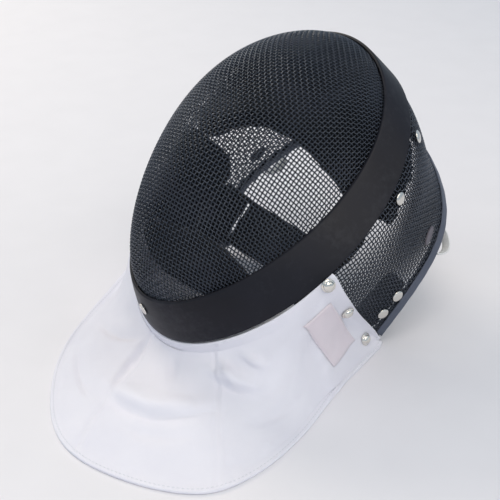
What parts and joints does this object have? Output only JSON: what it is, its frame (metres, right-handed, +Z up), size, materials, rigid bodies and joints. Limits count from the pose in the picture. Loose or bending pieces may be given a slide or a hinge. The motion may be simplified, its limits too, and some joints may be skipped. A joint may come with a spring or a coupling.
{
  "type": "fencing mask",
  "caption": "Fencing mask with a domed woven wire face, flexible side mesh, bound rear edge, padding and a white cloth bib spread on the floor.",
  "frame": {"origin": "centre of the bounding box at floor level", "axes": "+X to the wearer's left, +Y to the back of the head, +Z up"},
  "size_m": [0.3154, 0.3813, 0.2462],
  "materials": {
    "wire": "dark powder coated woven steel wire",
    "band": "smooth satin vinyl over a stiff band",
    "trim": "slate grey folded vinyl binding",
    "rivet": "bright satin metal",
    "cloth": "white densely woven quilted cloth",
    "label": "blank pale woven label",
    "padding": "dark brushed fabric over soft foam",
    "webbing": "ribbed dark webbing",
    "elastic": "off-white knitted elastic",
    "plastic": "moulded grey plastic"
  },
  "bodies": {
    "root": {"front_mesh": "wire", "side_mesh": "wire", "rim_band": "band", "rear_trim": "trim", "chin_rivet": "rivet", "forehead_pad": "padding", "chin_pad": "padding", "neck_strap": "webbing", "bib": "cloth", "label_patch": "label", "band_rivet_left_upper": "rivet", "corner_rivet_left_upper": "rivet", "band_rivet_left_lower": "rivet", "corner_rivet_left_lower": "rivet", "jaw_patch_left": "webbing", "oval_anchor_left": "plastic", "elastic_loop_left": "elastic", "cheek_pad_left": "padding", "snap_stud_left_1": "rivet", "snap_stud_left_2": "rivet", "snap_stud_left_3": "rivet", "band_rivet_right_upper": "rivet", "corner_rivet_right_upper": "rivet", "band_rivet_right_lower": "rivet", "corner_rivet_right_lower": "rivet", "jaw_patch_right": "webbing", "oval_anchor_right": "plastic", "elastic_loop_right": "elastic", "cheek_pad_right": "padding", "snap_stud_right_1": "rivet", "snap_stud_right_2": "rivet", "snap_stud_right_3": "rivet"}
  },
  "joints": []
}
